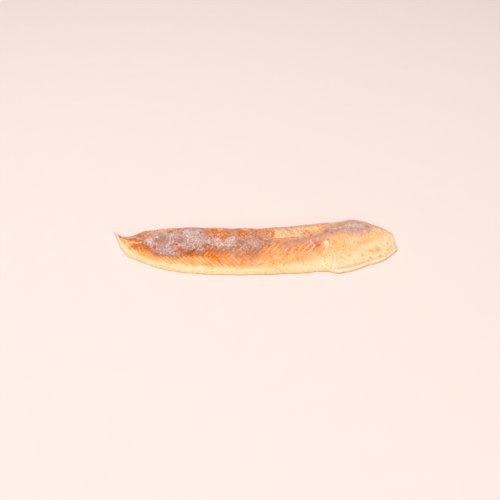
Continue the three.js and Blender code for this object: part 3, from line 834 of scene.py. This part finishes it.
def write_look(mesh, skin, at, look):
    """Stores on the mesh the fields that the flesh's material reads."""
    lengthwise = smoothstep(at.x, *WEAVE_TURNS)
    weave_x = lerp(look.line * skin.length / skin.flakes, at.from_belly * WEAVE_TIGHTER, lengthwise)
    weave_y = lerp(at.from_belly, at.x, lengthwise)
    weave_z = np.where(at.on_top, 0, -at.span)
    for name, columns in (
        ("muscle", (look.line, at.across, look.line_show)),
        ("weave", (weave_x, weave_y, weave_z)),
    ):
        write_attribute(mesh, name, "FLOAT_VECTOR", "vector", np.stack(columns, 1))
    for name, columns in (
        ("zones", (look.membrane, look.pale, look.grainy)),
        ("marks", (look.stains, look.veils, look.holes)),
        ("streaks", (look.rust, look.whites_and_painted_light, look.body)),
    ):
        write_attribute(mesh, name, "FLOAT_COLOR", "color", np.stack([*columns, np.ones_like(at.x)], 1))
    write_attribute(mesh, "rim_shade_and_ledge_line", "FLOAT", "value", look.rim_shade_and_ledge_line)


def fillet_mesh(form):
    skin = FilletSkin(form)
    mesh, row, column = skin_net(ROWS_PER_FLAKE * skin.flakes + CAP_ROWS, TOP_COLUMNS + BASE_COLUMNS)
    at = net_places(skin, row, column)
    look = fillet_look(skin, at)
    top, base = skin.plain_heights(at.crest, at.span, at.across)
    z = np.where(at.on_top, top + upper_relief(skin, at, look), base) + at.lift
    mesh.vertices.foreach_set("co", closed_places(skin, at, row, z).ravel())
    mesh.polygons.foreach_set("use_smooth", np.ones(len(mesh.polygons), bool))
    write_look(mesh, skin, at, look)
    mesh.update()
    return mesh


class Sheet:
    """A material's node tree, with short calls that add and link nodes."""

    def __init__(self, material):
        material.use_nodes = True
        self.tree = material.node_tree
        self.tree.nodes.clear()

    def add(self, kind, inputs=(), **settings):
        node = self.tree.nodes.new(kind)
        for name, value in settings.items():
            setattr(node, name, value)
        for key, value in dict(inputs).items():
            self.put(node.inputs[key], value)
        return node

    def put(self, socket, value):
        if isinstance(value, bpy.types.NodeSocket):
            self.tree.links.new(value, socket)
        elif socket.type == "RGBA" and len(value) == 3:
            socket.default_value = (*value, 1)
        else:
            socket.default_value = value

    def math(self, operation, *values):
        return self.add("ShaderNodeMath", enumerate(values), operation=operation).outputs[0]

    def total(self, first, *others):
        for value in others:
            first = self.math("ADD", first, value)
        return first

    def product(self, first, *others):
        for value in others:
            first = self.math("MULTIPLY", first, value)
        return first

    def fade(self, value, low, high, start=0.0, end=1.0):
        """Goes smoothly from start to end as the value goes from low to high."""
        inputs = {"Value": value, "From Min": low, "From Max": high, "To Min": start, "To Max": end}
        return self.add("ShaderNodeMapRange", inputs, interpolation_type="SMOOTHSTEP").outputs[0]

    def mix(self, factor, first, second, blend="MIX"):
        node = self.add("ShaderNodeMix", data_type="RGBA", blend_type=blend)
        for socket, value in zip((node.inputs[0], node.inputs[6], node.inputs[7]), (factor, first, second)):
            self.put(socket, value)
        return node.outputs[2]

    def noise(self, vector, scale, detail=2.0, roughness=0.5, distortion=0.0):
        inputs = {"Vector": vector, "Scale": scale, "Detail": detail}
        inputs.update({"Roughness": roughness, "Distortion": distortion})
        return self.add("ShaderNodeTexNoise", inputs).outputs["Fac"]

    def stretched(self, vector, scale):
        return self.add("ShaderNodeMapping", {"Vector": vector, "Scale": scale}).outputs[0]

    def split(self, attribute, kind="ShaderNodeSeparateColor", field="Color"):
        source = self.add("ShaderNodeAttribute", attribute_name=attribute)
        node = self.add(kind)
        self.put(node.inputs[0], source.outputs[field])
        return node.outputs[:3]

    def ramp(self, value, stops):
        node = self.add("ShaderNodeValToRGB", {"Fac": value})
        elements = node.color_ramp.elements
        while len(elements) < len(stops):
            elements.new(1.0)
        for element, (place, colour) in zip(elements, stops):
            element.position = place
            element.color = (*colour, 1)
        return node.outputs[0]

    def finish(self, inputs):
        shader = self.add("ShaderNodeBsdfPrincipled", inputs)
        self.add("ShaderNodeOutputMaterial", {"Surface": shader.outputs[0]})


class FleshSheet(Sheet):
    """The flesh's node tree, painted in layers from the bare flesh up to the marks on its surface."""

    def __init__(self, material, colours):
        super().__init__(material)
        self.colours = colours
        place = self.add("ShaderNodeTexCoord").outputs["Object"]
        along = self.add("ShaderNodeSeparateXYZ", {"Vector": place}).outputs[0]
        self.along = self.math("DIVIDE", along, MM)
        self.flake, self.across, self.line_show = self.split("muscle", "ShaderNodeSeparateXYZ", "Vector")
        self.membrane, self.pale, self.grainy = self.split("zones")
        self.stain, self.veil, self.hole = self.split("marks")
        self.rust, self.whites_and_painted_light, self.body = self.split("streaks")
        self.rim_shade_and_ledge_line = self.add("ShaderNodeAttribute", attribute_name="rim_shade_and_ledge_line").outputs["Fac"]
        weave = self.add("ShaderNodeAttribute", attribute_name="weave").outputs["Vector"]
        self.noises = {}
        for name, (tight_along, tight_across, *rest) in WEAVE_NOISES.items():
            self.noises[name] = self.noise(self.stretched(weave, (tight_along, tight_across, 1)), 1, *rest)
        for name, (lumps, *rest) in FLESH_NOISES.items():
            self.noises[name] = self.noise(place, lumps, *rest)
        self.swings = {}
        for name, value in self.noises.items():
            self.swings[name] = self.math("MULTIPLY_ADD", value, SWING, -SWING / 2)

    def lengthwise(self, fade):
        return self.fade(self.along, *fade)

    def crosswise(self, fade):
        return self.fade(self.across, *fade)

    def stirred(self, value, **amounts):
        """The value pushed to either side by the named noises, by about the amount given for each."""
        for name, amount in amounts.items():
            value = self.math("MULTIPLY_ADD", self.swings[name], amount, value)
        return value

    def bare_flesh(self):
        """Deep orange under the membrane, through peach and straw, to cream at the belly."""
        woven = self.stirred(0, streaks=0.2, threads=0.14)
        woven = self.product(woven, self.fade(self.grainy, *WEAVE_IN_CRUMBS), self.lengthwise(TAIL_WEAVE))
        self.calm = self.crosswise(CALM_EDGE)
        speckled = self.stirred(woven, crumb=self.math("MULTIPLY_ADD", self.grainy, *CRUMBS), grit=0.12)
        speckled = self.product(speckled, self.crosswise(LIVELY_BACK), self.calm)
        chips = self.fade(self.stirred(self.noises["patches"], threads=0.1), *CHIPS)
        chips = self.product(chips, self.crosswise(CHIPS_ACROSS), self.lengthwise(CHIPS_ALONG))
        tone = self.total(self.stirred(self.pale, clouds=0.12), speckled, chips)
        colours = self.colours
        tints = (colours.ember, colours.orange, colours.peach, colours.straw, colours.cream)
        return self.ramp(tone, list(zip(FLESH_STOPS, tints)))

    def gilded(self, flesh):
        """Golden towards the tail, between the belly fat and the membrane, with yellow grit all over."""
        top = self.math("MINIMUM", self.lengthwise(GOLD_TOP_RISES), self.lengthwise(GOLD_TOP_FALLS))
        self.golden = self.product(
            self.fade(self.along, self.crosswise(GOLD_STARTS), GOLD_FULL),
            self.lengthwise(GOLD_TIP),
            self.crosswise(GOLD_ABOVE_FAT),
            self.crosswise(GOLD_IN_BELT),
            self.fade(self.across, top, self.math("SUBTRACT", top, GOLD_TOP_SOFT)),
            self.fade(self.pale, *GOLD_PALE),
        )
        flesh = self.mix(self.golden, flesh, self.colours.gold, "MULTIPLY")
        yellow = self.fade(self.stirred(self.noises["grit"], crumb=0.06), *YELLOW)
        yellow = self.product(yellow, self.lengthwise(YELLOW_ALONG), self.crosswise(YELLOW_ACROSS))
        return self.mix(yellow, flesh, self.colours.yolk, "MULTIPLY")

    def lined(self, flesh):
        """Pale lines between the flakes, broken here and there."""
        from_middle = self.math("ABSOLUTE", self.math("SUBTRACT", self.math("FRACT", self.flake), 0.5))
        line = self.fade(self.stirred(from_middle, fine=0.03), *LINE)
        whole = self.fade(self.stirred(self.noises["clouds"], patches=0.08), *LINE_GAPS)
        self.lines = self.product(line, whole, self.line_show)
        return self.mix(self.product(self.lines, LINES_ON_FLESH), flesh, self.colours.septum)

    def blushed(self, flesh):
        """Pinkish flesh round the membrane, towards the head."""
        near = self.stirred(self.membrane, patches=0.25, threads=0.7)
        near = self.fade(near, self.lengthwise(BLUSH_REACH), BLUSH_FULL, 0, BLUSH_MOST)
        blush = self.product(near, self.lengthwise(BLUSH_STARTS), self.lengthwise(BLUSH_ENDS))
        return self.mix(blush, flesh, self.colours.blush)

    def filmed(self, flesh):
        """Membrane, torn and thin at its edge, brown along it and speckled with holes."""
        colours = self.colours
        edge = self.math("MULTIPLY_ADD", self.veil, VEIL_SPREADS, self.membrane)
        edge = self.stirred(edge, streaks=self.lengthwise(TEARING), threads=self.crosswise(TEARING_BACK))
        edge = self.stirred(edge, patches=0.42, crumb=0.3, grit=0.2)
        margin = self.product(
            self.fade(edge, self.lengthwise(MARGIN_REACH), MARGIN_FULL),
            self.fade(edge, *MARGIN_INSIDE),
            self.lengthwise(MARGIN_STARTS),
            self.lengthwise(MARGIN_ENDS),
            self.fade(self.across, *MARGIN_ACROSS, self.lengthwise(MARGIN_ON_BACK)),
        )
        flesh = self.mix(margin, flesh, colours.umber)
        film = self.total(self.fade(edge, *FILM_THIN), self.fade(edge, *FILM_THICK))
        speckle = self.fade(self.stirred(self.noises["threads"], patches=0.12, clouds=-0.05), *SPECKLE)
        hole = self.fade(self.stirred(self.hole, patches=0.2), *OPEN_HOLE)
        closed = self.math("SUBTRACT", 1, self.math("MAXIMUM", speckle, hole))
        self.cover = self.product(film, closed, self.body, self.fade(self.lines, *LINES_THROUGH))
        # Veils, with their painted glints, make the membrane paler, and stains make it deeper
        silver = self.math("SUBTRACT", self.veil, self.stain)
        silver = self.math("MULTIPLY_ADD", silver, SILVER_MARKS, SILVER)
        silver = self.stirred(silver, streaks=-0.2, threads=-0.2, fine=0.16, clouds=0.16)
        silver = self.stirred(silver, patches=0.2, crumb=0.3, grit=0.24)
        skin = self.ramp(silver, list(zip(FILM_STOPS, (colours.mauve_deep, colours.mauve, colours.lilac))))
        colour = self.mix(self.cover, flesh, skin)
        return self.mix(self.product(self.lines, LINES_ON_FILM), colour, colours.septum)

    def marked(self, colour):
        """Stains, strands, rims, cracks and holes, and brown patches along the back's rim, with painted
        light and shade among them: pinkish contact shade on the belly's rim, shade beside the bead and in
        the holes, the back rim's patches in part, and light along the head cut.
        """
        colours = self.colours
        # Cracks and pits, with the painted shade beside the bead
        crack_and_shade = self.stirred(self.rust, crumb=0.16)
        for field, fade, tint in (
            (self.stirred(self.stain, fine=0.2), STAINED, colours.mauve_deep),
            # Whitish strands and ledge, and painted light along the head cut
            (self.stirred(self.whites_and_painted_light, crumb=0.12), STRANDED_AND_PAINTED_LIGHT, colours.gristle),
            # Painted pinkish contact shade on the belly's rim, and the ledge's line
            (self.product(self.rim_shade_and_ledge_line, self.stirred(1, patches=0.5)), RIM_SHADE_AND_LEDGE_LINE, colours.salmon_shade_and_line),
            (crack_and_shade, CRACKED_AND_SHADED, colours.umber),
            (crack_and_shade, DEEPLY_CRACKED, colours.rust),
            # Rust in the membrane's holes: partly their brown, partly painted shade inside them
            (self.hole, HOLE_RUST_AND_SHADE, colours.rust),
        ):
            colour = self.mix(self.fade(field, *fade), colour, tint)
        # Brown patches along the back's rim: partly a smoke-dark edge, partly painted contact shade along
        # the back
        back_rim_smoke_and_shade = self.product(
            self.crosswise(BACK_RIM),
            self.fade(self.noises["patches"], *BACK_RIM_PATCHES),
            self.lengthwise(BACK_RIM_TAIL),
            self.lengthwise(BACK_RIM_HEAD),
            self.calm,
        )
        return self.mix(back_rim_smoke_and_shade, colour, colours.umber)

    def fine_relief(self):
        """Height in millimetres of the crumbs, threads, membrane and lines."""
        height = self.product(self.noises["crumb"], self.math("MULTIPLY_ADD", self.grainy, *CRUMB_HEIGHT))
        for field, share in (
            (self.noises["fine"], THREAD_HEIGHT),
            (self.noises["streaks"], STREAK_HEIGHT),
            (self.cover, FILM_HEIGHT),
            (self.lines, LINE_HEIGHT),
        ):
            height = self.math("MULTIPLY_ADD", field, share, height)
        return height


def flesh_material(colours):
    """Moist satin flesh, less glossy where it is golden."""
    material = bpy.data.materials.new("smoked_flesh")
    sheet = FleshSheet(material, colours)
    flesh = sheet.blushed(sheet.lined(sheet.gilded(sheet.bare_flesh())))
    colour = sheet.marked(sheet.filmed(flesh))
    rough = sheet.fade(sheet.noises["crumb"], *ROUGHNESS)
    rough = sheet.math("MULTIPLY_ADD", sheet.cover, FILM_SMOOTHER, rough)
    dull = sheet.product(sheet.golden, sheet.lengthwise(DULL_STARTS))
    bump = sheet.add("ShaderNodeBump", {"Strength": 1.0, "Distance": MM, "Height": sheet.fine_relief()})
    sheet.finish({
        "Base Color": colour,
        "Roughness": rough,
        "Normal": bump.outputs[0],
        "Subsurface Weight": 0.15,
        "Subsurface Radius": (0.4, 0.45, 0.5),
        "Subsurface Scale": 2 * MM,
        "Specular IOR Level": 0.14,
        "Coat Weight": sheet.math("MULTIPLY_ADD", dull, -MOIST, MOIST),
        "Coat Roughness": 0.45,
    })
    return material


def floor_material(colour):
    material = bpy.data.materials.new("pale_floor")
    sheet = Sheet(material)
    place = sheet.add("ShaderNodeTexCoord").outputs["Object"]
    mottle = sheet.fade(sheet.noise(place, *FLOOR_NOISE), *FLOOR_MOTTLE)
    tint = sheet.mix(mottle, colour, FLOOR_TINT)
    sheet.finish({"Base Color": tint, "Roughness": 0.8, "Specular IOR Level": 0.2})
    return material


def link(obj):
    bpy.context.scene.collection.objects.link(obj)
    return obj


class TROUT_OT_fillet(bpy.types.Operator):
    """Models and paints the fillet in place of its plain solid"""

    bl_idname = "trout.fillet"
    bl_label = "Trout fillet"

    def execute(self, context):
        mesh = fillet_mesh(context.scene.trout_form)
        mesh.materials.append(flesh_material(context.scene.trout_paint))
        fillet = link(bpy.data.objects.new("smoked_trout_fillet", mesh))
        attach(fillet, "root")
        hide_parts(NODE)
        return {"FINISHED"}


class TROUT_OT_stage(bpy.types.Operator):
    """Sets the floor, the soft light and the camera"""

    bl_idname = "trout.stage"
    bl_label = "Stage"

    def execute(self, context):
        scene = context.scene
        stage = scene.trout_stage
        scene.view_settings.view_transform = "Standard"

        ground = bmesh.new()
        bmesh.ops.create_grid(ground, x_segments=1, y_segments=1, size=FLOOR_REACH)
        mesh = bpy.data.meshes.new("floor")
        ground.to_mesh(mesh)
        ground.free()
        mesh.materials.append(floor_material(stage.floor_colour))
        link(bpy.data.objects.new("floor", mesh))

        world = bpy.data.worlds.new("studio")
        world.use_nodes = True
        sky = world.node_tree.nodes["Background"]
        sky.inputs["Color"].default_value = SKY_COLOUR
        sky.inputs["Strength"].default_value = stage.sky_strength
        scene.world = world

        for name, place, power in (
            ("key", Vector(KEY_PLACE), stage.key_power),
            ("front", Vector(FRONT_PLACE), stage.front_power),
        ):
            lamp = bpy.data.lights.new(name, "AREA")
            lamp.shape = "DISK"
            lamp.size = LAMP_SIZE
            lamp.energy = power
            lamp.color = LAMP_COLOUR
            light = link(bpy.data.objects.new(name, lamp))
            aim = place.to_track_quat("Z", "Y").to_matrix().to_4x4()
            light.matrix_world = Matrix.Translation(place) @ aim

        view = bpy.data.cameras.new("camera")
        view.sensor_width = SENSOR_WIDTH
        view.lens = stage.camera_lens
        view.shift_x = stage.camera_shift
        view.clip_start = NEAREST_SEEN
        camera = link(bpy.data.objects.new("camera", view))
        camera.location = stage.camera_place
        camera.rotation_euler = (math.pi / 2 - stage.camera_pitch, 0, -stage.camera_yaw)
        scene.camera = camera
        return {"FINISHED"}


class TROUT_PT_sidebar(bpy.types.Panel):
    """Lists the fillet's sizes, colours and stage, and the steps that build them"""

    bl_idname = "TROUT_PT_sidebar"
    bl_label = "Smoked trout fillet"
    bl_space_type = "VIEW_3D"
    bl_region_type = "UI"
    bl_category = "Trout"

    def draw(self, context):
        for settings in (context.scene.trout_form, context.scene.trout_paint, context.scene.trout_stage):
            box = self.layout.box()
            for name in settings.bl_rna.properties.keys():
                if name not in ("rna_type", "name"):
                    box.prop(settings, name)
        self.layout.operator(TROUT_OT_fillet.bl_idname)
        self.layout.operator(TROUT_OT_stage.bl_idname)


CLASSES = (TroutForm, TroutPaint, TroutStage, TROUT_OT_fillet, TROUT_OT_stage, TROUT_PT_sidebar)


def register():
    for cls in CLASSES:
        bpy.utils.register_class(cls)
    bpy.types.Scene.trout_form = PointerProperty(type=TroutForm)
    bpy.types.Scene.trout_paint = PointerProperty(type=TroutPaint)
    bpy.types.Scene.trout_stage = PointerProperty(type=TroutStage)


def unregister():
    del bpy.types.Scene.trout_form
    del bpy.types.Scene.trout_paint
    del bpy.types.Scene.trout_stage
    for cls in reversed(CLASSES):
        bpy.utils.unregister_class(cls)


def main():
    register()
    bpy.ops.trout.fillet()
    bpy.ops.trout.stage()


if __name__ == "__main__":
    main()
